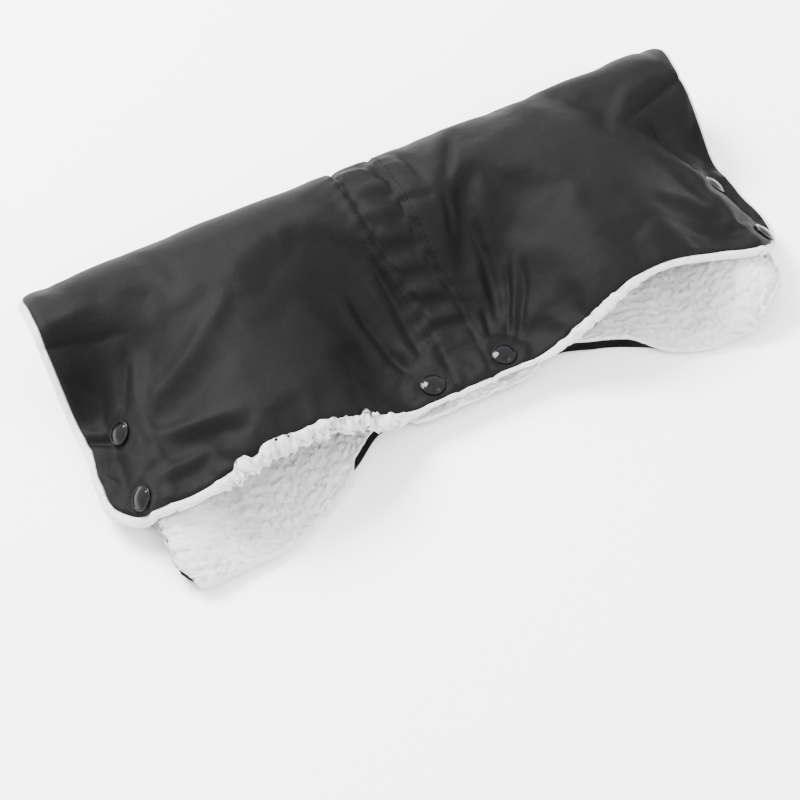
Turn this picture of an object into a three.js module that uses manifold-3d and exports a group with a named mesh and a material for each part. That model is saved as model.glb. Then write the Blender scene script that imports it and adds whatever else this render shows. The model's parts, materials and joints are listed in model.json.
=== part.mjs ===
// A padded muff that keeps hands warm on a handlebar: a quilt folded in two along its back edge, black shell
// outside and white pile lining inside, closed by six ring snaps. The handlebar runs along X through the fold,
// the hands go in from the front (-Y), and the flat underside rests on Z = 0. Millimetres, +Z up.
import * as THREE from "three";
import { mergeVertices } from "three/addons/utils/BufferGeometryUtils.js";
import Module from "manifold-3d";

const wasm = await Module();
wasm.setup();

// Outline
const HALF_LENGTH = 226; // centre to the lining's rolled edge at each end
const FRONT = -82; // lining's front edge where the snaps hold it shut
const LOBE = 38; // how far the lower layer reaches past FRONT at each hand opening
const UPPER_LOBE = 4; // the same for the upper layer
const CORNER_RADIUS = 38;
const PAST_CORNER_SLOPE = 0.6; // keeps the stations of a cut-back edge apart past its rounded corner
const RIM = 5.9; // the lining's rolled rim stands this far past the shell
const STRIP_HALF_WIDTH = 12.5; // centre strip, seam to seam is 25

// Fold at the back
const BACK_RADIUS = 31;
const BACK_Y = 57; // axis of the fold's round
const SPLIT_ANGLE = 45; // the fold's middle piece spans this angle either side of +Y
const JOINT_GAP = 0.2; // each side of a split, measured at the inner face

// Wall, measured inwards from the outer face
const SHELL = [0, 1.0];
const PADDING = [1.3, 4.2];
const LINING = [4.7, 8.0]; // the pile springs out to fill the gap that is left where the two layers meet
const ELASTIC = [1.3, 2.1];
const ELASTIC_HALF_WIDTH = 10;
const [ELASTIC_FIRST_ROW, ELASTIC_LAST_ROW] = [3, 7]; // rows of the upper half that it runs between
const PADDING_UNDER_ELASTIC = 2.4;
const RIM_FACE = [0.6, 7.9];
const HALF_STACK = 9.6; // outer face to the plane where the two layers meet
const SEAM = 0.15; // half the gap between two panels
const [LINING_CUT, LINING_END_CUT] = [60, 142]; // the lining is in five lengths, cut at these stations

// Closed zones
const CENTRE_LIFT = 3; // the lower layer's height above the table at the centre snaps
const END_MEET = 9.8; // height of the meeting plane at the end edges
const BEND_START = 212; // the closed end slopes up from here towards the middle
const BEND_RUN = 8.5;
const SLOPE_RUN = 12; // the 45 degree stretch that carries the end snaps

// Where each shaped zone fades, as [none, full]
const OPENING_INNER_X = [40, 150];
const OPENING_OUTER_X = [218, 186];
const CENTRE_X = [105, 34];
const CENTRE_Y = [48, -46];
const LIFT_Y = [-22, -46];
const END_X = [125, 183];
const END_Y = [50, -2];
const LIP_Y = [-122, -78]; // past the closed end the lower lip sinks back to the table
const SLANT_X = [142, 183];
const SLANT_BACK_Y = 16; // the slant stops growing behind this y
const CROWN = { height: 2, end: 0.7 }; // the open upper half swells over this share of the way to the front
const FRONT_DROP = 9;

// Snaps
const CENTRE_SNAP = { x: 23.5, y: -66 };
const END_SNAPS_Y = { back: -17.5, front: -63.5 };
const END_SLANT = 0.146; // the closed end's slope runs this much aslant, its front part nearer the end edge
const SLANT_Y = -62; // BEND_START is measured at this y
const CAP_RADIUS = 7.5;
const DISC_RADIUS = 5.8;
const POST_RADIUS = 5.3;
const STEM_RADIUS = 1.9;
const STEM_SPAN = [5, 13]; // along the snap's axis, measured from its meeting point
const STEM_HOLE_RADIUS = 2.3;
const WELL_RADIUS = 6.3;
const WELL_SPAN = [-0.6, 6.5];
const SPRING = { radius: 2.72, wire: 0.3, height: 1.7 };
const SNAP_SIDES = 12;

const smooth = (from, to, value) => THREE.MathUtils.smoothstep((value - from) / (to - from), 0, 1);
const mix = THREE.MathUtils.lerp;
const radians = THREE.MathUtils.degToRad;

// ---- Outer faces as heights over the table ----

// 1 along each hand opening, 0 at the centre snaps and at the ends
const opening = (x) => smooth(...OPENING_INNER_X, Math.abs(x)) * smooth(...OPENING_OUTER_X, Math.abs(x));

const slant = (y) => END_SLANT * (SLANT_Y - y);

// Meeting plane of the closed ends: flat at the edge, a 45 degree slope, then a level ridge
function endMeeting(x, y) {
  const t = BEND_START - Math.abs(x) + slant(y);
  const slopeEnd = BEND_RUN + SLOPE_RUN;
  const eased = (run) => (run * run) / (2 * BEND_RUN);
  if (t <= 0) return { z: END_MEET, slope: 0 };
  if (t <= BEND_RUN) return { z: END_MEET + eased(t), slope: t / BEND_RUN };
  const bendTop = END_MEET + eased(BEND_RUN);
  if (t <= slopeEnd) return { z: bendTop + t - BEND_RUN, slope: 1 };
  const left = Math.max(0, slopeEnd + BEND_RUN - t);
  return { z: bendTop + SLOPE_RUN + eased(BEND_RUN) - eased(left), slope: left / BEND_RUN };
}

function endFace(x, y, side) {
  const { z, slope } = endMeeting(x, y);
  return z + side * HALF_STACK * Math.sqrt(1 + slope * slope);
}

const endWeight = (x, y) => smooth(...END_X, Math.abs(x)) * smooth(...END_Y, y);
const centreWeight = (x, y) => smooth(...CENTRE_X, Math.abs(x)) * smooth(...CENTRE_Y, y);

function upperHeight(x, y) {
  const t = (BACK_Y - y) / (BACK_Y - FRONT);
  const swell = CROWN.height * Math.sin(Math.PI * Math.min(t / CROWN.end, 1));
  const open = 2 * BACK_RADIUS + swell - FRONT_DROP * t ** 3;
  const shut = CENTRE_LIFT + 2 * HALF_STACK;
  return mix(mix(open, shut, centreWeight(x, y)), endFace(x, y, 1), endWeight(x, y));
}

// The lower layer lies on the table but for the centre and the ends, and so does its lip at the hand openings
function lowerHeight(x, y) {
  const centre = CENTRE_LIFT * smooth(...CENTRE_X, Math.abs(x)) * smooth(...LIFT_Y, y);
  return mix(centre, endFace(x, y, -1), endWeight(x, y) * smooth(...LIP_Y, y));
}

// Point d inside the outer face. side is +1 for the upper half and -1 for the lower.
function wallPoint(side, x, y, d) {
  const height = side > 0 ? upperHeight : lowerHeight;
  const step = 0.5;
  const slopeX = (height(x + step, y) - height(x - step, y)) / (2 * step);
  const slopeY = y > BACK_Y - 1 ? 0 : (height(x, y + step) - height(x, y - step)) / (2 * step);
  const inward = new THREE.Vector3(slopeX, slopeY, -1).normalize().multiplyScalar(side * d);
  return new THREE.Vector3(x, y, height(x, y)).add(inward);
}

function foldPoint(x, angle, d) {
  const r = BACK_RADIUS - d;
  return new THREE.Vector3(x, BACK_Y + r * Math.cos(angle), BACK_RADIUS + r * Math.sin(angle));
}

// Front edge of a half at station x, cut back by inset, with the corner rounded
function frontEdge(side, x, inset) {
  const reach = side > 0 ? UPPER_LOBE : LOBE;
  const radius = CORNER_RADIUS - inset;
  const dx = Math.max(0, Math.abs(x) - (HALF_LENGTH - CORNER_RADIUS));
  const start = FRONT - reach * opening(x);
  if (dx > radius) return start + CORNER_RADIUS + PAST_CORNER_SLOPE * (dx - radius);
  return start + inset + radius - Math.sqrt(radius * radius - dx * dx);
}

// ---- Closed solids from a grid of stations ----

// point(i, j, face) gives the outer (face 0) and inner (face 1) corner of the grid
function slab(columns, rows, point) {
  const positions = [];
  const index = [];
  const id = (i, j, face) => (face * columns + i) * rows + j;
  for (const face of [0, 1]) {
    for (let i = 0; i < columns; i++) {
      for (let j = 0; j < rows; j++) positions.push(...point(i, j, face).toArray());
    }
  }
  const quad = (a, b, c, d) => index.push(a, b, c, a, c, d);
  for (let i = 0; i < columns - 1; i++) {
    const onLeft = point(i, 0, 0).x + point(i + 1, 0, 0).x < 0; // the diagonals mirror about X = 0
    for (let j = 0; j < rows - 1; j++) {
      for (const face of [0, 1]) {
        const ring = [id(i, j, face), id(i + 1, j, face), id(i + 1, j + 1, face), id(i, j + 1, face)];
        if (onLeft) ring.push(ring.shift());
        if (face === 1) ring.splice(1, 3, ring[3], ring[2], ring[1]);
        quad(...ring);
      }
    }
  }
  for (let i = 0; i < columns - 1; i++) {
    quad(id(i, 0, 1), id(i + 1, 0, 1), id(i + 1, 0, 0), id(i, 0, 0));
    quad(id(i, rows - 1, 0), id(i + 1, rows - 1, 0), id(i + 1, rows - 1, 1), id(i, rows - 1, 1));
  }
  for (let j = 0; j < rows - 1; j++) {
    quad(id(0, j, 0), id(0, j + 1, 0), id(0, j + 1, 1), id(0, j, 1));
    quad(id(columns - 1, j, 1), id(columns - 1, j + 1, 1), id(columns - 1, j + 1, 0), id(columns - 1, j, 0));
  }
  return outwards(positions, index);
}

// The same triangles, turned round if they enclose a negative volume
function outwards(positions, index) {
  const geometry = new THREE.BufferGeometry();
  geometry.setAttribute("position", new THREE.Float32BufferAttribute(positions, 3));
  const corner = (k) => new THREE.Vector3().fromArray(positions, 3 * index[k]);
  let volume = 0;
  for (let k = 0; k < index.length; k += 3) {
    volume += corner(k).dot(corner(k + 1).cross(corner(k + 2)));
  }
  const turned = volume < 0 ? index.slice().reverse() : index;
  geometry.setIndex(turned);
  return geometry;
}

const MIDDLE_COLUMNS = [-STRIP_HALF_WIDTH, STRIP_HALF_WIDTH];
const WING_COLUMNS = [34, 60, 88, 116, 142, 163, 183, 191.5, 203.5, 212, HALF_LENGTH - RIM];
const RIM_STEP = [0.7, 1.5]; // the rim's inner wall rises between these two distances from the shell's edge
const RIM_COLUMNS = [...RIM_STEP.map((step) => HALF_LENGTH - RIM + step), HALF_LENGTH];
const RIM_INSETS = [...RIM_STEP.map((step) => RIM - step), 0];
const LEVEL_ROWS = [BACK_Y, 36, 16, -2, -22];
const FRONT_SHARES = [0.45, 0.75, 1]; // the other rows, as shares of the way from the last to the shell's edge
const mirrored = (columns) => [...columns.map((x) => -x).reverse(), ...columns];
const faceGap = JOINT_GAP / (BACK_RADIUS - LINING[1]);

// Station x moved aslant with the bends of the closed end
function slanted(x, y) {
  const weight = smooth(...SLANT_X, Math.abs(x)) * smooth(HALF_LENGTH - RIM, BEND_START, Math.abs(x));
  return x + Math.sign(x) * weight * slant(Math.min(y, SLANT_BACK_Y));
}

// Rows of one half, from its split in the fold round to its front edge. Each gives the point at station x.
function halfRows(side, rimmed) {
  const first = radians(SPLIT_ANGLE) + faceGap;
  const rows = [first, (first + Math.PI / 2) / 2].map((angle) => ({
    at: (x, d) => foldPoint(x, side * angle, d),
  }));
  const row = (y, rim = false) => {
    rows.push({ rim, at: (x, d) => wallPoint(side, slanted(x, y(x)), y(x), d) });
  };
  for (const y of LEVEL_ROWS) row(() => y);
  const last = LEVEL_ROWS[LEVEL_ROWS.length - 1];
  for (const share of FRONT_SHARES) row((x) => mix(last, frontEdge(side, x, RIM), share));
  if (rimmed) RIM_INSETS.forEach((inset, k) => row((x) => frontEdge(side, x, inset), k > 0));
  return rows;
}

function spineRows() {
  const last = radians(SPLIT_ANGLE) - faceGap;
  return [-1, -0.5, 0, 0.5, 1].map((t) => ({ at: (x, d) => foldPoint(x, t * last, d) }));
}

// One layer of the wall. depth is [outer, inner]; a rimmed layer turns out to RIM_FACE at its free edges.
function layer(columns, rows, depth, outerDepth) {
  const rimStart = (RIM_COLUMNS[0] + RIM_COLUMNS[1]) / 2;
  return slab(columns.length, rows.length, (i, j, face) => {
    const x = columns[i];
    const inRim = rows[j].rim || Math.abs(x) > rimStart;
    if (inRim) return rows[j].at(x, RIM_FACE[face]);
    const outer = outerDepth ? outerDepth(x) : depth[0];
    return rows[j].at(x, face === 0 ? outer : depth[1]);
  });
}

// ---- Cutting with manifold-3d ----

function toManifold(geometry) {
  const bare = geometry.clone();
  for (const name of ["normal", "uv"]) bare.deleteAttribute(name);
  const merged = mergeVertices(bare, 1e-4);
  return new wasm.Manifold(new wasm.Mesh({
    numProp: 3,
    vertProperties: new Float32Array(merged.attributes.position.array),
    triVerts: new Uint32Array(merged.index.array),
  }));
}

function fromManifold(solid) {
  const mesh = solid.getMesh();
  const geometry = new THREE.BufferGeometry();
  geometry.setAttribute("position", new THREE.BufferAttribute(mesh.vertProperties, 3));
  geometry.setIndex(new THREE.BufferAttribute(mesh.triVerts, 1));
  return geometry;
}

// ---- Snaps ----

// Each snap's name, meeting point and upward axis
function snapPlaces() {
  const places = [];
  for (const [hand, s] of [["left", -1], ["right", 1]]) {
    const centre = new THREE.Vector3(s * CENTRE_SNAP.x, CENTRE_SNAP.y, CENTRE_LIFT + HALF_STACK);
    places.push({ name: `centre_${hand}`, point: centre, axis: new THREE.Vector3(0, 0, 1) });
    for (const [row, y] of Object.entries(END_SNAPS_Y)) {
      const x = BEND_START - BEND_RUN - SLOPE_RUN / 2 + slant(y);
      const point = new THREE.Vector3(s * x, y, endMeeting(x, y).z);
      const axis = new THREE.Vector3(s, END_SLANT, 1).normalize();
      places.push({ name: `${hand}_end_${row}`, point, axis });
    }
  }
  return places;
}

const SNAPS = snapPlaces();

// Moves a geometry made about the Y axis onto a snap's axis
function ontoSnap(geometry, { point, axis }) {
  const turn = new THREE.Quaternion().setFromUnitVectors(new THREE.Vector3(0, 1, 0), axis);
  return geometry.applyQuaternion(turn).translate(point.x, point.y, point.z);
}

function lathe(profile) {
  return new THREE.LatheGeometry(profile.map(([r, h]) => new THREE.Vector2(r, h)), SNAP_SIDES);
}

const capProfile = [
  [0, 5.3], [STEM_RADIUS, 5.3], [STEM_RADIUS, 9.9], [CAP_RADIUS - 0.4, 9.9], [CAP_RADIUS, 10.4],
  [CAP_RADIUS - 0.3, 11.2], [CAP_RADIUS - 1.8, 12.1], [CAP_RADIUS - 4, 12.6], [0, 12.8],
];
const socketProfile = [
  [0, 5.0], [0, 3.0], [2.5, 3.0], [2.5, 2.35], [3.35, 2.35], [3.35, 1.05], [2.5, 1.05], [2.5, 0.25],
  [4.2, 0.25], [DISC_RADIUS, 2.6], [DISC_RADIUS, 5.0], [0, 5.0],
];
const studProfile = [
  [0, -5.0], [DISC_RADIUS, -5.0], [DISC_RADIUS, -3.4], [2.9, -3.0], [1.7, -1.8], [1.7, 0.2],
  [2.1, 1.2], [1.6, 2.2], [0, 2.5],
];
const postProfile = [
  [0, -11.4], [POST_RADIUS - 1.2, -11.4], [POST_RADIUS, -10.9], [POST_RADIUS, -10.2], [STEM_RADIUS, -10.2],
  [STEM_RADIUS, -5.3], [0, -5.3],
];

function rod(radius, from, to, sides) {
  return new THREE.CylinderGeometry(radius, radius, to - from, sides).translate(0, (from + to) / 2, 0);
}

function cutForSnaps(geometry, radius, from, to) {
  let solid = toManifold(geometry);
  for (const snap of SNAPS) {
    solid = solid.subtract(toManifold(ontoSnap(rod(radius, from, to, SNAP_SIDES), snap)));
  }
  return fromManifold(solid);
}

// The part of a geometry between two stations, SEAM short of each
function between(geometry, from, to) {
  const length = to - from - 2 * SEAM;
  const box = new THREE.BoxGeometry(length, 2 * HALF_LENGTH, HALF_LENGTH).translate((from + to) / 2, 0, 0);
  return fromManifold(toManifold(geometry).intersect(toManifold(box)));
}

// ---- Assembly ----

const blackCloth = { color: 0x1b1c1f, roughness: 0.62, metalness: 0 };
const whitePile = { color: 0xf2f2ef, roughness: 0.95, metalness: 0 };
const wadding = { color: 0xdedcd6, roughness: 0.95, metalness: 0 };
const elasticWeb = { color: 0xcfcfca, roughness: 0.8, metalness: 0 };
const blackEnamel = { color: 0x0c0c0e, roughness: 0.15, metalness: 0.3 };
const nickel = { color: 0xb9babd, roughness: 0.3, metalness: 1 };

const muff = new THREE.Group();

function add(parent, name, geometry, finish) {
  const mesh = new THREE.Mesh(geometry, new THREE.MeshStandardMaterial(finish));
  mesh.name = name;
  parent.add(mesh);
}

const halves = { lower: -1, upper: 1 };
const rightPanel = [STRIP_HALF_WIDTH + SEAM, ...WING_COLUMNS];
const panels = {
  left: rightPanel.map((x) => -x).reverse(),
  centre: MIDDLE_COLUMNS.map((x) => x - Math.sign(x) * SEAM),
  right: rightPanel,
};
const quiltColumns = mirrored([STRIP_HALF_WIDTH, ...WING_COLUMNS]);
const liningColumns = mirrored([STRIP_HALF_WIDTH, ...WING_COLUMNS, ...RIM_COLUMNS]);
const liningParts = {
  left_end: [-HALF_LENGTH - 1, -LINING_END_CUT],
  left: [-LINING_END_CUT, -LINING_CUT],
  centre: [-LINING_CUT, LINING_CUT],
  right: [LINING_CUT, LINING_END_CUT],
  right_end: [LINING_END_CUT, HALF_LENGTH + 1],
};

for (const [half, side] of Object.entries(halves)) {
  const group = new THREE.Group();
  muff.add(group);
  const span = STEM_SPAN.map((h) => side * h).sort((a, b) => a - b);
  const well = WELL_SPAN.map((h) => side * h).sort((a, b) => a - b);
  for (const [panel, columns] of Object.entries(panels)) {
    const cloth = layer(columns, halfRows(side, false), SHELL);
    add(group, `${half}_shell_${panel}`, cutForSnaps(cloth, STEM_HOLE_RADIUS, ...span), blackCloth);
  }
  const overStrip = (x) => side > 0 && Math.abs(x) <= STRIP_HALF_WIDTH;
  const underElastic = (x) => (overStrip(x) ? PADDING_UNDER_ELASTIC : PADDING[0]);
  const quilt = layer(quiltColumns, halfRows(side, false), PADDING, underElastic);
  add(group, `${half}_padding`, cutForSnaps(quilt, STEM_HOLE_RADIUS, ...span), wadding);
  const pile = cutForSnaps(layer(liningColumns, halfRows(side, true), LINING), WELL_RADIUS, ...well);
  for (const [part, ends] of Object.entries(liningParts)) {
    add(group, `${half}_lining_${part}`, between(pile, ...ends), whitePile);
  }
}

// The middle of the fold, which turns against both halves as the muff opens
const spine = new THREE.Group();
muff.add(spine);
const spineEnd = HALF_LENGTH - RIM;
const spinePanels = {
  left: [-spineEnd, -STRIP_HALF_WIDTH - SEAM],
  centre: panels.centre,
  right: [STRIP_HALF_WIDTH + SEAM, spineEnd],
};
for (const [panel, columns] of Object.entries(spinePanels)) {
  add(spine, `spine_shell_${panel}`, layer(columns, spineRows(), SHELL), blackCloth);
}
add(spine, "spine_padding", layer([-spineEnd, spineEnd], spineRows(), PADDING), wadding);
add(spine, "spine_lining", layer(mirrored([spineEnd, ...RIM_COLUMNS]), spineRows(), LINING), whitePile);

// Elastic that gathers the centre strip, sewn under the upper shell
const elasticRows = halfRows(1, false).slice(ELASTIC_FIRST_ROW, ELASTIC_LAST_ROW + 1);
const elasticColumns = [-ELASTIC_HALF_WIDTH, ELASTIC_HALF_WIDTH];
add(muff, "centre_elastic", layer(elasticColumns, elasticRows, ELASTIC), elasticWeb);

for (const snap of SNAPS) {
  add(muff, `snap_cap_${snap.name}`, ontoSnap(lathe(capProfile), snap), blackEnamel);
  add(muff, `snap_socket_${snap.name}`, ontoSnap(lathe(socketProfile), snap), nickel);
  const ring = new THREE.TorusGeometry(SPRING.radius, SPRING.wire, 4, SNAP_SIDES).rotateX(Math.PI / 2);
  add(muff, `snap_spring_${snap.name}`, ontoSnap(ring.translate(0, SPRING.height, 0), snap), nickel);
  add(muff, `snap_stud_${snap.name}`, ontoSnap(lathe(studProfile), snap), nickel);
  add(muff, `snap_post_${snap.name}`, ontoSnap(lathe(postProfile), snap), blackEnamel);
}

export default muff;
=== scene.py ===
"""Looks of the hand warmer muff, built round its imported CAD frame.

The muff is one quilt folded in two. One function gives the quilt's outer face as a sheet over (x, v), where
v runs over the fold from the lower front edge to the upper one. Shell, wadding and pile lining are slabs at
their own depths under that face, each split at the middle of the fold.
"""

import json
import math

import bmesh
import bpy
import numpy as np
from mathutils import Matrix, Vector


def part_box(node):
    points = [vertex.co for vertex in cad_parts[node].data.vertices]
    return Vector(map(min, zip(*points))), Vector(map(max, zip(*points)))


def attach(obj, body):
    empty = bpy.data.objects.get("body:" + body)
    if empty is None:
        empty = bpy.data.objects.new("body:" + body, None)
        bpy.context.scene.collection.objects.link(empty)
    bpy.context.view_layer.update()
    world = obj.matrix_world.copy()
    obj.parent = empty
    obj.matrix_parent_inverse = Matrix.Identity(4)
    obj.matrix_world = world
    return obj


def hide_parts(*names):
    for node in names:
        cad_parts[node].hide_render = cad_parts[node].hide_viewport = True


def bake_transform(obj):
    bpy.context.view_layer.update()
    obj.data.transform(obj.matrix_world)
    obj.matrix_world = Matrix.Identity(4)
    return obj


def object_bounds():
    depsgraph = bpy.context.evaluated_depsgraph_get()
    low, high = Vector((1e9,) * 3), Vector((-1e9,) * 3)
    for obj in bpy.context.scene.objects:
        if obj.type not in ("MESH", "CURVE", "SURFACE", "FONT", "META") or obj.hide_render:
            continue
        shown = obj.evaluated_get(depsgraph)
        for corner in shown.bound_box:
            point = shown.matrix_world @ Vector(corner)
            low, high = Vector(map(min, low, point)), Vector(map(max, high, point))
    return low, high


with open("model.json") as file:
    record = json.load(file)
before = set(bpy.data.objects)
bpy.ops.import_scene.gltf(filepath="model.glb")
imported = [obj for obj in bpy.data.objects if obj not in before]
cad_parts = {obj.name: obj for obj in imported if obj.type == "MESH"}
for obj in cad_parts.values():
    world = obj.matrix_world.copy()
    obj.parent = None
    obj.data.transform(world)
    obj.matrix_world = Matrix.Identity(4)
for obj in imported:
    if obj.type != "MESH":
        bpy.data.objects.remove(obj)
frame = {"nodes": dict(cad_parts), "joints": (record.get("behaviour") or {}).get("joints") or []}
cad_low, cad_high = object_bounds()

MM = 0.001

# ---- Driving sizes in millimetres, the same as the CAD's and read from its frame where that holds them ----

hinge_z = [joint["pos_m"][2] / MM for joint in frame["joints"]]
hinge_y = [joint["pos_m"][1] / MM for joint in frame["joints"]]
HALF_LENGTH = cad_high.x / MM
RADIUS = sum(hinge_z) / 2  # outer radius of the fold at the back
BACK_Y = hinge_y[0] - abs(hinge_z[1] - hinge_z[0]) / 2  # the hinges lie 45 degrees round the fold
ARC = RADIUS * math.pi / 2
STRIP = 12.5  # half the width of the centre strip
RIM = 5.9  # the lining's rolled rim past the shell's edge
FRONT = -82.0  # y of the front edge where it runs straight
CORNER = 38.0  # radius of the rounded corners
STACK = 9.6  # outer face to the plane where the two layers meet
LIFT = 3.0  # the lower layer's rise at the centre snaps
MEET = 9.8  # height of the meeting plane at the flat ends
BEND_START = 212.0  # from here inwards the ends rise: a bend, a 45 degree slope and a bend back to level
BEND_RUN = 8.5
SLOPE_RUN = 12.0
END_SLANT = 0.146  # the rise starts this much further out for each millimetre in front of SLANT_Y
SLANT_Y = -62.0

SHELL_DEPTH = (0.0, 1.0)
PADDING_DEPTH = (1.3, 4.2)
ELASTIC_DEPTH = (1.3, 2.1)
ELASTIC_HALF_WIDTH = 10.0
UNDER_ELASTIC = 2.4
LINING_DEPTH = (4.7, 9.1)
WELL_DEPTH = (4.0, 4.5)  # the lining under a snap's socket or stud
WELL_RADIUS = 6.5


# ---- Noise ----


def hashed(cell, seed):
    """A number from 0 to 1 for each row of whole numbers."""
    mixed = cell[..., 0] * 374761393 + cell[..., 1] * 668265263 + cell[..., 2] * 2147483647 + seed * 974711
    h = mixed & 0xFFFFFFFF
    h = ((h ^ (h >> 13)) * 1274126177) & 0xFFFFFFFF
    return ((h ^ (h >> 16)) & 0xFFFFFF) / float(0xFFFFFF)


def value_noise(p, size, seed):
    """Smooth noise from -1 to 1 with bumps about size wide."""
    q = p / size
    base = np.floor(q).astype(np.int64)
    f = q - base
    f = f * f * (3 - 2 * f)
    total = np.zeros(len(p))
    for corner in range(8):
        step = np.array([corner & 1, corner >> 1 & 1, corner >> 2 & 1])
        weight = np.prod(np.where(step, f, 1 - f), axis=1)
        total += weight * hashed(base + step, seed)
    return 2 * total - 1


def clumps(p, size, seed):
    """Rounded lumps about size wide: 1 at each lump's middle, falling to 0 in the creases between lumps."""
    q = p / size
    base = np.floor(q).astype(np.int64)
    nearest = np.full(len(p), 9.0)
    second = np.full(len(p), 9.0)
    for dx in (-1, 0, 1):
        for dy in (-1, 0, 1):
            for dz in (-1, 0, 1):
                cell = base + np.array([dx, dy, dz])
                spot = cell + np.stack([hashed(cell, seed + k) for k in (0, 1, 2)], -1)
                distance = np.linalg.norm(spot - q, axis=1)
                second = np.minimum(second, np.maximum(distance, nearest))
                nearest = np.minimum(nearest, distance)
    return np.clip(second - nearest, 0, 1) ** 0.5


# ---- The quilt's outer face ----


def smooth(start, end, value):
    t = np.clip((value - start) / (end - start), 0, 1)
    return t * t * (3 - 2 * t)


def mix(a, b, t):
    return a + (b - a) * t


def by_hand(x, left, right):
    return np.where(x < 0, left, right)


def eased_through(points, value):
    """Passes through (place, height) points in order of place, level at each of them."""
    total = np.full_like(value, points[0][1])
    for (start, low), (end, high) in zip(points, points[1:]):
        total = total + (high - low) * smooth(start, end, value)
    return total


def end_meeting(x, y):
    """Height and slope of the plane where the two layers meet at the closed ends."""
    run = BEND_START - np.abs(x) + END_SLANT * (SLANT_Y - y)
    first = np.clip(run, 0, BEND_RUN)
    straight = np.clip(run - BEND_RUN, 0, SLOPE_RUN)
    last = np.clip(run - BEND_RUN - SLOPE_RUN, 0, BEND_RUN)
    rise = first**2 / (2 * BEND_RUN) + straight + BEND_RUN / 2 - (BEND_RUN - last) ** 2 / (2 * BEND_RUN)
    slope = np.where(run > BEND_RUN + SLOPE_RUN, (BEND_RUN - last) / BEND_RUN, first / BEND_RUN)
    return MEET + rise, slope


def end_face(x, y, side):
    height, slope = end_meeting(x, y)
    return height + side * STACK * np.sqrt(1 + slope**2)


def upper_height(x, y):
    t = (BACK_Y - y) / (BACK_Y - FRONT)
    puffed = 2 * RADIUS + 2 * np.sin(np.pi * np.minimum(t / 0.7, 1)) - 9 * t**3
    shut = LIFT + 2 * STACK
    centre = smooth(105, 34, np.abs(x)) * smooth(48, -46, y)
    end = smooth(125, 183, np.abs(x)) * smooth(50, -2, y)
    return mix(mix(puffed, shut, centre), end_face(x, y, 1), end)


def lower_height(x, y):
    """The lower layer lies on the table, rises at the centre snaps and climbs a ledge at each closed end."""
    centre = LIFT * smooth(105, 34, np.abs(x)) * smooth(-22, -46, y)
    ledge = by_hand(x, smooth(156, 190, -x), smooth(140, 186, x))
    return mix(centre, end_face(x, y, -1), ledge * smooth(50, -2, y) * smooth(-122, -78, y))


# How far the front edge leaves its straight line over each opening, and where the lower one is drawn back
LEFT_DROOP = 4.0
RIGHT_RISE = 6.0
LEFT_LOBE = 38.0
RIGHT_LOBE = 29.0
NECK_PINCH = 5.0
END_PINCH = 9.0


def front_start(x, side):
    """y of the lining's front edge, before its corners are rounded."""
    droop = LEFT_DROOP * smooth(40, 150, -x) * smooth(214, 186, -x)
    rise = RIGHT_RISE * smooth(70, 122, x) * smooth(194, 168, x)
    left_lobe = LEFT_LOBE * smooth(45, 152, -x) * smooth(218, 197, -x)
    right_lobe = RIGHT_LOBE * smooth(72, 150, x) * smooth(216, 170, x)
    pinch = NECK_PINCH * smooth(82, 60, np.abs(x)) * smooth(30, 48, np.abs(x))
    pinch = pinch + END_PINCH * smooth(206, 216, np.abs(x))
    return FRONT + np.where(side > 0, by_hand(x, -droop, rise), pinch - by_hand(x, left_lobe, right_lobe))


def front_edge(x, side, inset):
    radius = CORNER - inset
    dx = np.clip(np.abs(x) - (HALF_LENGTH - CORNER), 0, radius)
    return front_start(x, side) + inset + radius - np.sqrt(np.maximum(radius**2 - dx**2, 0))


def past_shell(x, y, side):
    """How far a point of the face lies past the shell's edge, negative inside it."""
    centre_x = HALF_LENGTH - CORNER
    centre_y = front_start(x, side) + CORNER
    dx = np.abs(x) - centre_x
    dy = centre_y - y
    straight = np.maximum(np.abs(x) - (HALF_LENGTH - RIM), front_start(x, side) + RIM - y)
    return np.where((dx > 0) & (dy > 0), np.hypot(dx, dy) - (CORNER - RIM), straight)


def unit(vectors):
    return vectors / np.maximum(np.linalg.norm(vectors, axis=-1, keepdims=True), 1e-9)


def past_direction(x, y, side):
    """The level direction in which a point gets past the shell's edge fastest."""
    step = 1.5
    gain_x = past_shell(x + step, y, side) - past_shell(x - step, y, side)
    gain_y = past_shell(x, y + step, side) - past_shell(x, y - step, side)
    return unit(np.stack([gain_x, gain_y, np.zeros(x.shape)], -1))


def face_points(x, v):
    """The bare outer face. v is 0 at the back of the fold, positive over the upper half."""
    side = np.where(v >= 0, 1.0, -1.0)
    angle = np.clip(v, -ARC, ARC) / RADIUS
    y = BACK_Y - np.maximum(np.abs(v) - ARC, 0)
    height = np.where(side > 0, upper_height(x, y), lower_height(x, y))
    in_arc = np.abs(v) < ARC
    py = np.where(in_arc, BACK_Y + RADIUS * np.cos(angle), y)
    pz = np.where(in_arc, RADIUS + RADIUS * np.sin(angle), height)
    return np.stack([x, py, pz], -1)


# ---- Edges: how the shell turns in and how full the lining's rim is ----


ALONG_FRONT = -100.0  # any y at which the left lobe's side counts as front edge


def black_lip(x, side, y=ALONG_FRONT):
    """1 where the lower lip turns up so that its black outside shows, by the centre and at the left lobe."""
    beside = by_hand(x, smooth(38, 52, -x) * smooth(92, 78, -x), smooth(40, 54, x) * smooth(122, 96, x))
    lobe_side = smooth(194, 201, -x) * smooth(-68, -77, y)
    return np.where(side > 0, 0.0, np.maximum(beside, lobe_side))


def fluffy_rim(x, side):
    """1 along the left opening's upper lip, where the pile pushes out past the edge."""
    left = smooth(172, 158, -x) * smooth(36, 62, -x)
    right = 0.35 * smooth(40, 70, x) * smooth(120, 100, x)
    return np.where(side > 0, by_hand(x, left, right), 0.0)


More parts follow.
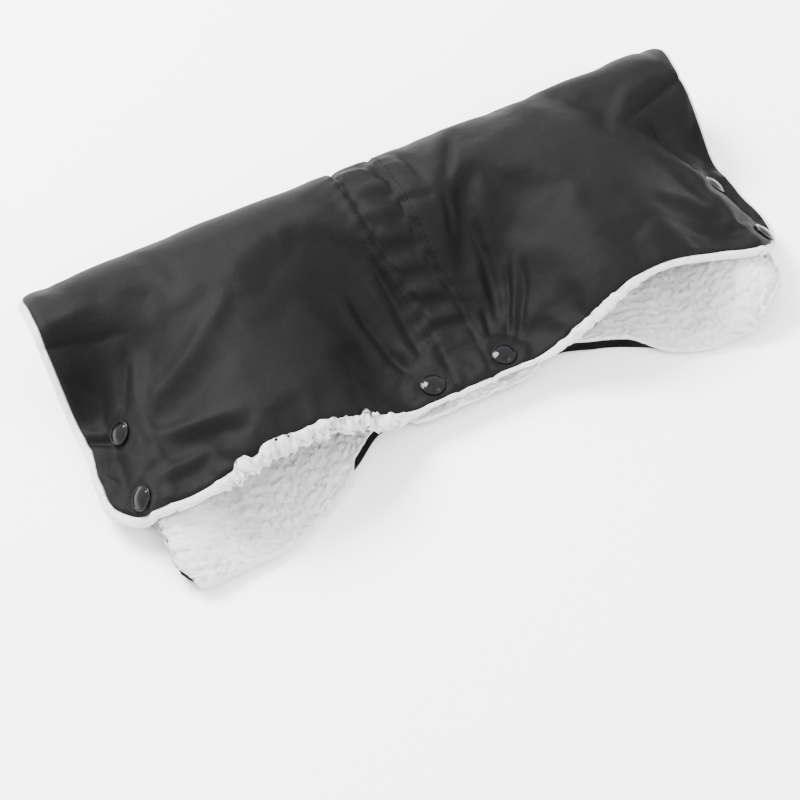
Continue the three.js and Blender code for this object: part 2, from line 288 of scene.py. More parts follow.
END_RIM_SHARE = (0.72, 0.60)  # left and right
FLUFFY_SHARE = 0.6
CENTRE_SHARE = 0.3
LIP_SHARE = 0.12


def rim_share(x, side):
    """Reach of the rim, as a share of RIM."""
    plain = by_hand(x, *END_RIM_SHARE) + FLUFFY_SHARE * fluffy_rim(x, side)
    return mix(mix(plain, CENTRE_SHARE, smooth(52, 30, np.abs(x))), LIP_SHARE, black_lip(x, side))


def rim_thickness(x, side, lip):
    at_end = smooth(150, 200, np.abs(x))
    plain = mix(by_hand(x, 5.4, 4.6), 7.0, at_end)
    closed = smooth(52, 30, np.abs(x))
    return mix(mix(plain + 3.0 * fluffy_rim(x, side), 4.0, closed), 3.0, lip)


EDGE_ROUND = 3.2  # the shell turns in over this distance from its edge


def turned_in(x, lip):
    """How deep the shell's edge turns in round the wadding."""
    return mix(1.3, mix(5.4, 6.8, smooth(150, 195, -x)), lip)


def lip_roll(x):
    """How far a black lip rolls back over the quilt."""
    return by_hand(x, mix(4.6, 3.2, smooth(150, 195, -x)), 4.6)


def shell_turn(x, lip, past):
    """The turn's depth at a place, given how far that lies past the shell's edge."""
    share = np.clip(1 + past / EDGE_ROUND, 0, 1)
    return turned_in(x, lip) * (1 - np.sqrt(1 - 0.97 * share**2))


# ---- Folds, seams and puckers, as heights on the outer face ----


def unrolled(v):
    """The face flattened out: y goes on past the fold, so that the upper half reads like a plan view."""
    return BACK_Y + ARC - np.abs(v)


def along(x, y, route, width):
    """1 on a route of (x, y) points, falling to 0 at its sides and at its ends."""
    best = np.zeros_like(x)
    spans = [math.dist(a, b) for a, b in zip(route, route[1:])]
    total = sum(spans)
    done = 0.0
    for (ax, ay), (bx, by), span in zip(route, route[1:], spans):
        t = np.clip(((x - ax) * (bx - ax) + (y - ay) * (by - ay)) / span**2, 0, 1)
        gap = np.hypot(x - ax - t * (bx - ax), y - ay - t * (by - ay))
        place = (done + t * span) / total
        fade = smooth(0, 0.3, place) * smooth(1, 0.8, place) * 0.85 + 0.15
        best = np.maximum(best, fade * np.exp(-((gap / width) ** 2)))
        done += span
    return best


# Upper half: route of each crease, its half width and its depth (negative for a ridge)
UPPER_CREASES = [
    ([(-44, 0), (-38, -28), (-30, -54)], 3.2, 3.6),
    ([(-50, 6), (-46, -16), (-36, -40)], 5.0, -2.0),
    ([(-24, 22), (-19, -10), (-19, -40), (-22, -54)], 2.6, 2.6),
    ([(-31, 8), (-27, -20), (-25, -48)], 3.5, -2.0),
    ([(44, 14), (42, -10), (33, -48)], 3.4, 2.8),
    ([(53, -14), (46, -32), (32, -56)], 2.4, 2.6),
    ([(62, -16), (54, -36), (36, -60)], 2.6, 2.2),
    ([(57, -10), (49, -32), (35, -56)], 2.4, -1.6),
    ([(30, -30), (26, -42), (22, -54)], 2.2, 1.6),
    ([(0, 80), (6, 62), (12, 50)], 2.6, 1.8),
    ([(24, 76), (27, 56), (28, 38)], 3.2, 2.0),
    ([(57, 66), (48, 50), (38, 36)], 3.6, 2.0),
    ([(0, 37), (14, 35), (31, 31)], 2.4, 2.0),
    ([(34, 34), (33, 22), (29, 8)], 2.4, 2.0),
    ([(50, 40), (40, 16), (26, -16)], 6.5, 2.4),
    ([(60, 34), (52, 6), (44, -10)], 7.0, -1.8),
    ([(-176, 22), (-184, 4), (-192, -14)], 4.0, 3.2),
    ([(-219, -6), (-208, -13), (-198, -18)], 2.6, 3.0),
    ([(-219, -76), (-210, -73), (-203, -68)], 2.4, 2.6),
    ([(-108, 26), (-122, 8), (-146, -8), (-170, -14), (-186, -22)], 7.0, -3.0),
    ([(-124, -14), (-146, -26), (-172, -32), (-184, -40)], 9.0, 2.6),
    ([(-186, -34), (-164, -44), (-132, -58)], 6.0, -2.4),
    ([(-160, -62), (-176, -62), (-190, -62)], 5.0, -2.0),
    ([(-168, 27), (-150, 24), (-120, 30)], 8.0, -1.6),
    ([(120, 84), (140, 58), (162, 34)], 13.0, 3.4),
    ([(160, 31), (176, 20), (188, 4), (188, -14)], 5.0, 3.6),
    ([(150, 36), (166, 12), (178, -6), (192, -26)], 8.0, -2.4),
    ([(196, 14), (204, -2), (210, -16)], 5.0, -2.2),
    ([(140, -24), (162, -30), (186, -44)], 8.0, -2.2),
    ([(150, -50), (172, -56), (190, -62)], 5.0, 1.8),
    ([(96, -10), (116, -30), (124, -56)], 12.0, 1.6),
]

# Lower half, which lies on the table: only its lips and ends fold
LOWER_CREASES = [
    ([(-46, -20), (-38, -44), (-28, -62)], 3.5, 1.6),
    ([(46, -20), (38, -44), (28, -62)], 3.5, 1.6),
    ([(-176, 6), (-188, -14)], 4.0, 1.5),
    ([(176, 6), (188, -14)], 4.0, 1.5),
]

DARTS = [((-221, 37), (-170, 27)), ((213, 46), (160, 31))]

# How far the cloth pulls each end edge in, at places along y
END_PULL = {
    "left": [(-82, 0), (-58, -1.5), (-36, 1), (-12, 5), (34, 3.5), (80, 4.5)],
    "right": [(-82, 3), (-46, 5.5), (-22, 8), (12, 10), (44, 14), (80, 9), (105, 6)],
}

UNDER_PULL = 9.0  # the lower layer's ends lie this much further in, except at the lobes
LOBE_NECK = 9.0  # further still where the left lobe comes out from under the upper half


def seam_line(side, y):
    """x of the centre strip's left (-1) or right (+1) seam."""
    if side < 0:
        return -STRIP + mix(-3.5, 5.0, smooth(25, -24, y)) - 4.0 * smooth(-35, -78, y)
    return STRIP + mix(-3.5, 2.5, smooth(10, -24, y)) - 4.5 * smooth(-44, -78, y)


def warped_x(u, y, upper):
    """Moves the columns so that the strip's edges follow their seams, and the end edges their pull."""
    shift = np.zeros_like(u)
    for side in (-1, 1):
        pull = seam_line(side, y) - side * STRIP
        shift += pull * np.exp(-(((u - side * STRIP) / 14.0) ** 2)) * (np.abs(u - side * STRIP) < 60)
    inward = by_hand(u, eased_through(END_PULL["left"], y), -eased_through(END_PULL["right"], y))
    neck = by_hand(u, smooth(-60, -76, y), 0.0) * LOBE_NECK
    under = by_hand(u, UNDER_PULL, -UNDER_PULL) * (1 - upper) * smooth(-104, -82, y)
    under = under + neck * (1 - upper) * smooth(-106, -88, y)
    return u + shift * upper + (inward + under) * smooth(186, HALF_LENGTH, np.abs(u))


class Snap:
    """A snap's line: the point where its halves meet and the axis from its post up to its cap."""

    CAP_TOP = 12.8

    def __init__(self, name):
        cap, post = (self.corners(f"snap_{kind}_{name}") for kind in ("cap", "post"))
        middle = cap.mean(0)
        axis = middle - post.mean(0)
        self.name = name
        self.axis = axis / np.linalg.norm(axis)
        self.point = middle + self.axis * (((cap - middle) @ self.axis).max() - self.CAP_TOP)

    @staticmethod
    def corners(node):
        all_corners = np.array([corner.co for corner in frame["nodes"][node].data.vertices]) / MM
        return np.unique(all_corners.round(3), axis=0)

    def spokes(self, angles):
        """Unit vectors square to the axis."""
        across = np.cross(self.axis, (0.0, 1.0, 0.0))
        across /= np.linalg.norm(across)
        other = np.cross(self.axis, across)
        return np.cos(angles)[:, None] * across + np.sin(angles)[:, None] * other

    def gap(self, points):
        """Distance from the snap's axis."""
        away = points - self.point
        return np.linalg.norm(away - (away @ self.axis)[..., None] * self.axis, axis=-1)


SNAPS = [Snap(node[len("snap_cap_"):]) for node in frame["nodes"] if node.startswith("snap_cap_")]


def dart_groove(x, y, width):
    groove = np.zeros_like(x)
    for (ax, ay), (bx, by) in DARTS:
        t = ((x - ax) * (bx - ax) + (y - ay) * (by - ay)) / math.dist((ax, ay), (bx, by)) ** 2
        clipped = np.clip(t, 0, 1)
        gap = np.hypot(x - ax - clipped * (bx - ax), y - ay - clipped * (by - ay))
        groove = np.maximum(groove, np.exp(-((gap / width) ** 2)) * smooth(1.12, 0.7, t))
    return groove


HEM_Y = -50.5  # the line of stitches that crosses the strip behind the centre snaps


def relief(u, x, v, bare):
    """How far the cloth stands out from the bare face, in millimetres."""
    y = unrolled(v)
    upper = smooth(-10, 30, v)
    flat = np.stack([x.ravel(), v.ravel(), np.zeros(x.size)], -1)
    soft = value_noise(flat, 46, 3) * 1.2 + value_noise(flat, 21, 5) * 0.5 + value_noise(flat, 9, 8) * 0.14
    h = soft.reshape(x.shape) * (0.35 + 0.65 * upper)
    for route, width, depth in UPPER_CREASES:
        h -= depth * along(x, y, route, width) * upper
    for route, width, depth in LOWER_CREASES:
        h -= depth * along(x, y, route, width) * (1 - upper)
    h -= 1.4 * dart_groove(x, y, 1.3) * upper
    h -= 1.3 * dart_groove(x, y, 6.0) * upper
    # the elastic gathers the strip, and the panels beside it more weakly
    gather = smooth(-58, -30, y) * smooth(100, 70, y) * upper
    wave = np.sin(2 * np.pi * (y + 0.12 * u) / 16.5 + 0.7 * np.sin(y / 23.0))
    in_strip = smooth(STRIP + 1, STRIP - 4, np.abs(u))
    h += gather * in_strip * (1.0 * wave - 0.3)
    beside = np.exp(-np.maximum(np.abs(u) - STRIP, 0) / 9.0) * (1 - in_strip)
    ripple = np.sin(2 * np.pi * (y + 0.3 * np.abs(u)) / 9.5 + 1.3 * np.sin(y / 11.0))
    h += gather * beside * 0.5 * ripple * np.where(u < 0, 1.0, 0.6)
    # seams of the strip, right round the muff
    for side in (-1, 1):
        h -= 1.0 * np.exp(-(((u - side * STRIP) / 1.1) ** 2))
        h -= 0.5 * np.exp(-(((u - side * STRIP) / 4.0) ** 2))
    h -= 0.7 * np.exp(-(((y - HEM_Y) / 0.9) ** 2)) * smooth(STRIP + 2, STRIP, np.abs(u)) * upper
    for snap in SNAPS:
        gap = snap.gap(bare)
        pressed = np.exp(-((gap / 9.5) ** 4))
        h = h * (1 - pressed) + 0.1 * pressed
        h += 0.9 * np.exp(-(((gap - 12.5) / 3.2) ** 2)) * upper
    on_table = smooth(-ARC + 8, -ARC - 8, v)
    return np.where(v < 0, mix(h, np.minimum(h, 0.1), on_table), h)


# ---- The quilt as a grid ----

CORNER_X = HALF_LENGTH - CORNER
RIM_STEPS = np.array([0.3, 0.8, 1.8, 3.0, 4.2, 5.1, 5.7, RIM])


def side_columns(edge, step, corner_steps):
    """Positive columns from the strip's edge to the given end, even and then crowding into the corner."""
    even = np.arange(STRIP, CORNER_X, step)
    theta = np.linspace(0, np.pi / 2, corner_steps + 1)
    corner = CORNER_X + (edge - CORNER_X) * np.sin(theta)
    return np.concatenate([even[even < CORNER_X - step / 2], corner])


def both_sides(positive, strip_steps, rimmed=False):
    strip = np.linspace(-STRIP, STRIP, strip_steps + 1)
    left, right = (HALF_LENGTH - RIM + RIM_STEPS * share * rimmed for share in END_RIM_SHARE)
    if not rimmed:
        left = right = RIM_STEPS[:0]
    return np.concatenate([-left[::-1], -positive[::-1], strip[1:-1], positive, right])


def crowded_rows(count):
    """Rows from -1 to 1, twice as close at the two front edges as at the fold."""
    t = np.linspace(-1, 1, count)
    return t + np.sin(np.pi * t) / (3 * np.pi)


def grid_normals(points, spare):
    """Normals of a grid of points, from spare where the grid's cells shrink to nothing."""
    n = np.cross(np.gradient(points, axis=1), np.gradient(points, axis=0))
    size = np.linalg.norm(n, axis=-1, keepdims=True)
    kept = unit(n)
    wrong = (size < 1e-3) | ((kept * spare).sum(-1, keepdims=True) < 0.2)
    return np.where(wrong, spare, kept)


def face_normals(x, v):
    """Normals of the bare outer face."""
    step = 0.4
    along_x = face_points(x + step, v) - face_points(x - step, v)
    along_v = face_points(x, v + step) - face_points(x, v - step)
    return unit(np.cross(along_v, along_x))


class Quilt:
    """The outer face over a grid of columns and rows, drape being its own wrinkles."""

    def __init__(self, columns, rows, drape=None, rimmed=False):
        extra = RIM_STEPS if rimmed else np.zeros(0)
        reach = ARC + BACK_Y
        edges = {side: front_edge(columns, side, RIM) for side in (-1, 1)}
        inner = np.stack([t * (reach - edges[1 if t >= 0 else -1]) for t in rows], 1)
        outside = {}
        for side in (-1, 1):
            share = rim_share(columns, side)
            outside[side] = [side * (reach - front_edge(columns, side, RIM - e * share)) for e in extra]
        self.v = v = np.stack([*outside[-1][::-1], *inner.T, *outside[1]], 1)
        self.u = u = np.repeat(columns[:, None], v.shape[1], 1)
        self.side = np.where(v >= 0, 1, -1)
        self.x = warped_x(u, unrolled(v), smooth(-10, 30, v))
        share = np.where(np.abs(u) > HALF_LENGTH - RIM, by_hand(u, *END_RIM_SHARE), rim_share(u, self.side))
        past = past_shell(u, unrolled(v), self.side)
        self.past = np.where(past > 0, np.minimum(past / share, RIM), past)
        self.lip = black_lip(u, self.side, unrolled(v))
        self.outwards = past_direction(u, unrolled(v), self.side)
        self.bare = face_points(self.x, v)
        self.bare_normals = face_normals(self.x, v)
        self.relief = relief(u, self.x, v, self.bare)
        if drape:
            front = np.where(v >= 0, edges[1][:, None], edges[-1][:, None])
            self.relief = self.relief + drape.at(u, v / (reach - front))
        self.points = self.raised(self.relief)
        self.normals = grid_normals(self.points, self.bare_normals)

    def raised(self, height):
        return self.bare + self.bare_normals * height[..., None]

    def rolled(self, points, start):
        """Points moved inwards where a black lip rolls over, from a distance inside the shell's edge on."""
        share = np.clip(1 - self.past / start, 0, 1)
        back = self.lip * lip_roll(self.u) * share**2
        return points - self.outwards * back[..., None]

    def sunk(self, depth, height=None):
        """The face moved in by a depth, from the relief or from another height of it."""
        return self.raised((self.relief if height is None else height) - depth)

    def thinned(self, columns_of, rows_of):
        """The same face on fewer columns and rows."""
        fewer = object.__new__(Quilt)
        for key, value in vars(self).items():
            setattr(fewer, key, value[columns_of][:, rows_of])
        return fewer


def lowest_nearby(h, reach):
    """Each height's lowest neighbour within reach cells, so that what lies under it clears every crease."""
    for axis in (0, 1):
        padded = np.pad(h, [(reach, reach) if a == axis else (0, 0) for a in (0, 1)], mode="edge")
        size = h.shape[axis]
        h = np.min([np.take(padded, range(k, k + size), axis) for k in range(2 * reach + 1)], axis=0)
    return h


def blurred(h, times):
    for _ in range(times):
        padded = np.pad(h, 1, mode="edge")
        h = (padded[:-2, 1:-1] + padded[2:, 1:-1] + padded[1:-1, :-2] + padded[1:-1, 2:] + 2 * h) / 6
    return h


# ---- The shell's own wrinkles, by cloth simulation ----


class Drape:
    """Cloth a little too large for the upper face, held at edges, seams and snaps, settles into wrinkles."""

    SPARE = 0.045
    FRAMES = 24
    LIMITS = (-2.6, 3.4)
    SHARE_AT_BACK = 0.35

    def __init__(self):
        self.columns = both_sides(side_columns(HALF_LENGTH - RIM, 4.2, 9), 6)
        self.rows = np.linspace(-0.30, 1, 66)
        self.push = np.zeros((len(self.columns), len(self.rows)))
        self.settle()

    def settle(self):
        quilt = Quilt(self.columns, self.rows)
        sheet = grid_object("drape", quilt.points * MM)
        group = sheet.vertex_groups.new(name="held")
        hold = self.holding(quilt).ravel()
        for index, weight in enumerate(hold):
            group.add([index], float(weight), "REPLACE")
        cloth = sheet.modifiers.new("cloth", "CLOTH")
        settings = cloth.settings
        settings.quality = 7
        settings.mass = 0.25
        settings.tension_stiffness = settings.compression_stiffness = 18
        settings.shear_stiffness = 8
        settings.bending_stiffness = 0.9
        settings.vertex_group_mass = "held"
        settings.pin_stiffness = 1.2
        settings.shrink_min = -self.SPARE
        settings.use_pressure = True
        settings.uniform_pressure_force = 0.35
        settings.effector_weights.gravity = 0
        scene = bpy.context.scene
        cloth.point_cache.frame_end = self.FRAMES
        for moment in range(1, self.FRAMES + 1):
            scene.frame_set(moment)
        settled = sheet.evaluated_get(bpy.context.evaluated_depsgraph_get())
        points = np.array([corner.co for corner in settled.data.vertices]) / MM
        scene.frame_set(1)
        bpy.data.objects.remove(sheet)
        moved = points.reshape(quilt.points.shape) - quilt.points
        push = np.clip((moved * quilt.normals).sum(-1), *self.LIMITS)
        on_upper = smooth(-ARC * 0.8, -ARC * 0.2, quilt.v)
        near_snap = np.max([np.exp(-((snap.gap(quilt.bare) / 11) ** 4)) for snap in SNAPS], axis=0)
        flatter_back = mix(self.SHARE_AT_BACK, 1.0, smooth(ARC * 0.7, ARC + 30, quilt.v))
        self.push = push * on_upper * flatter_back * (1 - near_snap)

    def holding(self, quilt):
        hold = np.full(quilt.u.shape, 0.02)
        for side in (-1, 1):
            hold = np.maximum(hold, 0.35 * np.exp(-(((quilt.u - side * STRIP) / 2.5) ** 2)))
        hold = np.maximum(hold, smooth(-4, 0, quilt.past))
        for snap in SNAPS:
            hold = np.where(snap.gap(quilt.bare) < 9, 1.0, hold)
        hold[:, 0] = hold[:, -1] = 1
        hold[0] = hold[-1] = 1
        return hold

    def at(self, u, t):
        i = np.interp(u, self.columns, np.arange(len(self.columns)))
        j = np.interp(t, self.rows, np.arange(len(self.rows)))
        i0 = np.minimum(i.astype(int), len(self.columns) - 2)
        j0 = np.minimum(j.astype(int), len(self.rows) - 2)
        fi, fj = i - i0, j - j0
        low = mix(self.push[i0, j0], self.push[i0 + 1, j0], fi)
        high = mix(self.push[i0, j0 + 1], self.push[i0 + 1, j0 + 1], fi)
        return blurred(mix(low, high, fj), 3)


# ---- Meshes ----


def linked(name, data):
    """A new object in the scene."""
    made = bpy.data.objects.new(name, data)
    bpy.context.scene.collection.objects.link(made)
    return made


def mesh_object(name, points, faces, normals=None):
    """A smooth-shaded object from points in metres and faces that are all quads or all triangles."""
    size = faces.shape[1]
    mesh = bpy.data.meshes.new(name)
    mesh.vertices.add(len(points))
    mesh.vertices.foreach_set("co", points.astype(np.float32).ravel())
    mesh.loops.add(faces.size)
    mesh.loops.foreach_set("vertex_index", faces.astype(np.int32).ravel())
    mesh.polygons.add(len(faces))
    mesh.polygons.foreach_set("loop_start", np.arange(0, faces.size, size, dtype=np.int32))
    mesh.update(calc_edges=True)
    mesh.validate()
    mesh.shade_smooth()
    if normals is not None:
        mesh.normals_split_custom_set_from_vertices(normals.tolist())
    return linked(name, mesh)


def quads(a, b, c, d):
    return np.stack([a.ravel(), b.ravel(), c.ravel(), d.ravel()], -1)


def grid_object(name, points):
    ids = np.arange(points.shape[0] * points.shape[1]).reshape(points.shape[:2])
    faces = quads(ids[:-1, :-1], ids[:-1, 1:], ids[1:, 1:], ids[1:, :-1])
    return mesh_object(name, points.reshape(-1, 3), faces)


def slab(name, outer, inner, normals=None):
    """A closed slab from two grids of points in millimetres, with the outer face's smooth normals kept."""
    columns, rows = outer.shape[:2]
    points = np.concatenate([outer.reshape(-1, 3), inner.reshape(-1, 3)]) * MM
    ids = np.arange(columns * rows).reshape(columns, rows)
    under = ids + columns * rows
    faces = np.concatenate([
        quads(ids[:-1, 1:], ids[1:, 1:], ids[1:, :-1], ids[:-1, :-1]),
        quads(under[1:, :-1], under[1:, 1:], under[:-1, 1:], under[:-1, :-1]),
        quads(ids[1:, 0], under[1:, 0], under[:-1, 0], ids[:-1, 0]),
        quads(under[:-1, -1], under[1:, -1], ids[1:, -1], ids[:-1, -1]),
        quads(under[0, :-1], under[0, 1:], ids[0, 1:], ids[0, :-1]),
        quads(ids[-1, 1:], under[-1, 1:], under[-1, :-1], ids[-1, :-1]),
    ])
    both = None
    if normals is not None:
        both = np.concatenate([normals.reshape(-1, 3), -normals.reshape(-1, 3)])
    return mesh_object(name, points, faces, both)


def hinge_blend(piece, half):
    """Bakes the piece's placement into its mesh, the same way for either half; nothing bends it."""
    side = 1 if half == "upper" else -1

    if side > 0:
        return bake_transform(piece)
    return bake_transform(piece)


def halves_of(rows):
    """Row slices of the lower and the upper half. They share the row at the back of the fold."""
    middle = int(np.argmin(np.abs(rows)))
    return {"lower": slice(0, middle + 1), "upper": slice(middle, len(rows))}


# ---- Materials ----


def material(name, build):
    made = bpy.data.materials.new(name)
    made.use_nodes = True
    build(made.node_tree, made.node_tree.nodes["Principled BSDF"])
    return made


def node(tree, kind, values=(), **settings):
    made = tree.nodes.new(kind)
    for key, value in settings.items():
        setattr(made, key, value)
    for key, value in dict(values).items():
        made.inputs[key].default_value = value
    return made


def texture(tree, kind, values, **settings):
    """A texture node laid out in metres over the piece."""
    made = node(tree, kind, values, **settings)
    where = node(tree, "ShaderNodeTexCoord")
    tree.links.new(where.outputs["Object"], made.inputs["Vector"])
    return made.outputs["Fac"]


def ramp(tree, factor, low, high, colour_low, colour_high):
    made = node(tree, "ShaderNodeValToRGB")
    for element, position, colour in zip(made.color_ramp.elements, (low, high), (colour_low, colour_high)):
        element.position = position
        element.color = (*colour, 1)
    tree.links.new(factor, made.inputs["Fac"])
    return made.outputs["Color"]


def bump(tree, shader, height, strength, distance):
    """Adds a bump on top of those that the shader has."""
    made = node(tree, "ShaderNodeBump", {"Strength": strength, "Distance": distance})
    tree.links.new(height, made.inputs["Height"])
    for link in list(shader.inputs["Normal"].links):
        tree.links.new(link.from_socket, made.inputs["Normal"])
    tree.links.new(made.outputs["Normal"], shader.inputs["Normal"])


def joined(tree, operation, first, second):
    made = node(tree, "ShaderNodeMath", operation=operation)
    tree.links.new(first, made.inputs[0])
    tree.links.new(second, made.inputs[1])
    return made.outputs[0]


def black_cloth(tree, shader):
    shader.inputs["Specular IOR Level"].default_value = 0.07
    shader.inputs["Sheen Weight"].default_value = 0.006
    shader.inputs["Sheen Roughness"].default_value = 0.45
    shader.inputs["Sheen Tint"].default_value = (0.85, 0.87, 0.92, 1)
    cloud = texture(tree, "ShaderNodeTexNoise", {"Scale": 16.0, "Detail": 6.0, "Roughness": 0.62})
    colour = ramp(tree, cloud, 0.3, 0.75, (0.0022, 0.0022, 0.0024), (0.0042, 0.0042, 0.0046))
    tree.links.new(colour, shader.inputs["Base Color"])
    worn = node(tree, "ShaderNodeMapRange", {"To Min": 0.46, "To Max": 0.66})
    tree.links.new(cloud, worn.inputs["Value"])
    tree.links.new(worn.outputs["Result"], shader.inputs["Roughness"])
    thread_sizes = {"Scale": 900.0, "Distortion": 0.8, "Detail": 1.0}
    threads = [texture(tree, "ShaderNodeTexWave", thread_sizes, bands_direction=way) for way in ("X", "Y")]
    bump(tree, shader, joined(tree, "MAXIMUM", *threads), 0.3, 0.00022)
    grain = texture(tree, "ShaderNodeTexNoise", {"Scale": 420.0, "Detail": 4.0, "Roughness": 0.7})
    bump(tree, shader, grain, 0.28, 0.0004)
    crumple_sizes = {"Scale": 95.0, "Detail": 4.0, "Roughness": 0.55, "Distortion": 0.6}
    bump(tree, shader, texture(tree, "ShaderNodeTexNoise", crumple_sizes), 0.22, 0.002)


def white_pile(tree, shader):
    shader.inputs["Roughness"].default_value = 0.9
    shader.inputs["Sheen Weight"].default_value = 0.3
    shader.inputs["Subsurface Weight"].default_value = 0.08
    shader.inputs["Subsurface Radius"].default_value = (0.004, 0.004, 0.004)
    tint = texture(tree, "ShaderNodeTexNoise", {"Scale": 60.0, "Detail": 4.0})
    colour = ramp(tree, tint, 0.3, 0.7, (0.93, 0.93, 0.935), (0.985, 0.985, 0.985))
    tree.links.new(colour, shader.inputs["Base Color"])
    curl_sizes = {"Scale": 380.0, "Detail": 6.0, "Roughness": 0.8, "Distortion": 1.6}
    bump(tree, shader, texture(tree, "ShaderNodeTexNoise", curl_sizes), 1.0, 0.003)


def wadding(tree, shader):
    shader.inputs["Roughness"].default_value = 0.95
    fibre = texture(tree, "ShaderNodeTexNoise", {"Scale": 220.0, "Detail": 6.0, "Roughness": 0.8})
    colour = ramp(tree, fibre, 0.3, 0.7, (0.66, 0.65, 0.62), (0.82, 0.81, 0.78))
    tree.links.new(colour, shader.inputs["Base Color"])
    bump(tree, shader, fibre, 0.8, 0.001)


def elastic_web(tree, shader):
    shader.inputs["Roughness"].default_value = 0.75
    ribs = texture(tree, "ShaderNodeTexWave", {"Scale": 160.0, "Distortion": 0.3}, bands_direction="X")
    colour = ramp(tree, ribs, 0.1, 0.9, (0.50, 0.50, 0.48), (0.74, 0.74, 0.72))
    tree.links.new(colour, shader.inputs["Base Color"])
    bump(tree, shader, ribs, 0.6, 0.0006)


def scuffed(tree, shader, base, worn, roughness, metallic):
    shader.inputs["Metallic"].default_value = metallic
    marks = texture(tree, "ShaderNodeTexNoise", {"Scale": 350.0, "Detail": 6.0, "Roughness": 0.65})
    colour = ramp(tree, marks, 0.45, 0.8, base, worn)
    tree.links.new(colour, shader.inputs["Base Color"])
    level = node(tree, "ShaderNodeMapRange", {"To Min": roughness * 0.8, "To Max": roughness * 1.6})
    tree.links.new(marks, level.inputs["Value"])
    tree.links.new(level.outputs["Result"], shader.inputs["Roughness"])


def black_enamel(tree, shader):
    scuffed(tree, shader, (0.003, 0.003, 0.0035), (0.006, 0.006, 0.0065), 0.09, 0.0)
    shader.inputs["Specular IOR Level"].default_value = 0.08
    shader.inputs["Coat Weight"].default_value = 0.12
    shader.inputs["Coat Roughness"].default_value = 0.04


def nickel(tree, shader):
    scuffed(tree, shader, (0.60, 0.59, 0.57), (0.50, 0.49, 0.47), 0.22, 1.0)


MATERIALS = {
    "black_shell": material("black_shell", black_cloth),
    "white_pile": material("white_pile", white_pile),
    "wadding": material("wadding", wadding),
    "elastic_web": material("elastic_web", elastic_web),
    "black_enamel": material("black_enamel", black_enamel),
    "nickel": material("nickel", nickel),
}


def dress(piece, slot):
    piece.data.materials.clear()
    piece.data.materials.append(MATERIALS[slot])


def with_spine(half, nodes, spine_nodes):
    """The lower half's pieces also stand for the middle of the fold."""
    return nodes + (spine_nodes if half == "lower" else [])


# ---- Shell, wadding, elastic and stitches, all on one fine face ----

# Flat sizes in metres
STRIP_STEPS = 14  # columns over the centre strip
LIP_START = -12.0  # the layers inside a black lip roll back from here on


def build_shell(quilt, side_count):
    turn = shell_turn(quilt.u, quilt.lip, quilt.past)
    outer = quilt.rolled(quilt.sunk(SHELL_DEPTH[0] + turn), -EDGE_ROUND)
    inner = quilt.rolled(quilt.sunk(SHELL_DEPTH[1] + turn), -EDGE_ROUND)
    normals = grid_normals(outer, quilt.normals)
    panels = {
        "left": slice(0, side_count),
        "centre": slice(side_count - 1, side_count + STRIP_STEPS),
        "right": slice(side_count + STRIP_STEPS - 1, len(quilt.u)),
    }
    for half, rows_of in halves_of(quilt.v[0]).items():
        for panel, columns_of in panels.items():
            cut = (columns_of, rows_of)
            piece = slab(f"{half}_cloth_{panel}", outer[cut], inner[cut], normals[cut])
            dress(piece, "black_shell")
            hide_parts(*with_spine(half, [f"{half}_shell_{panel}"], [f"spine_shell_{panel}"]))
            hinge_blend(piece, half)


def build_wadding(quilt, under):
    """under is the shell's height with its creases widened, so that the wadding stays below them."""
    strip = (np.abs(quilt.u) < STRIP) & (quilt.v > 0)
    edge = smooth(-EDGE_ROUND * 2, 0, quilt.past)
    turn = shell_turn(quilt.u, quilt.lip, quilt.past)
    top = np.maximum(np.where(strip, UNDER_ELASTIC, PADDING_DEPTH[0]) + 1.9 * edge, turn + 1.2)
    bottom = np.maximum(PADDING_DEPTH[1], turn + 1.4)
    outer = quilt.rolled(quilt.sunk(np.minimum(top, bottom - 0.15), under), LIP_START)
    inner = quilt.rolled(quilt.sunk(bottom, under), LIP_START)
    for half, rows_of in halves_of(quilt.v[0]).items():
        cut = (slice(1, -1), rows_of)
        inside = slice(1, None) if half == "lower" else slice(None, -1)
        piece = slab(f"{half}_wadding", *(layer[cut][:, inside] for layer in (outer, inner)))
        dress(piece, "wadding")
        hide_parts(*with_spine(half, [f"{half}_padding"], ["spine_padding"]))
        hinge_blend(piece, half)


def build_elastic(quilt, under):
    low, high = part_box("centre_elastic")
    y = unrolled(quilt.v[len(quilt.v) // 2])
    rows_of = np.flatnonzero((quilt.v[0] > ARC) & (y > low.y / MM) & (y < high.y / MM))
    columns_of = np.flatnonzero(np.abs(quilt.u[:, 0]) <= ELASTIC_HALF_WIDTH)
    cut = np.ix_(columns_of, rows_of)
    piece = slab("gathering_elastic", *(quilt.sunk(depth, under)[cut] for depth in ELASTIC_DEPTH))
    dress(piece, "elastic_web")
    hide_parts("centre_elastic")
    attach(piece, "upper_half")


STITCH = {"length": 2.6, "gap": 1.1, "radius": 0.28, "sides": 6}


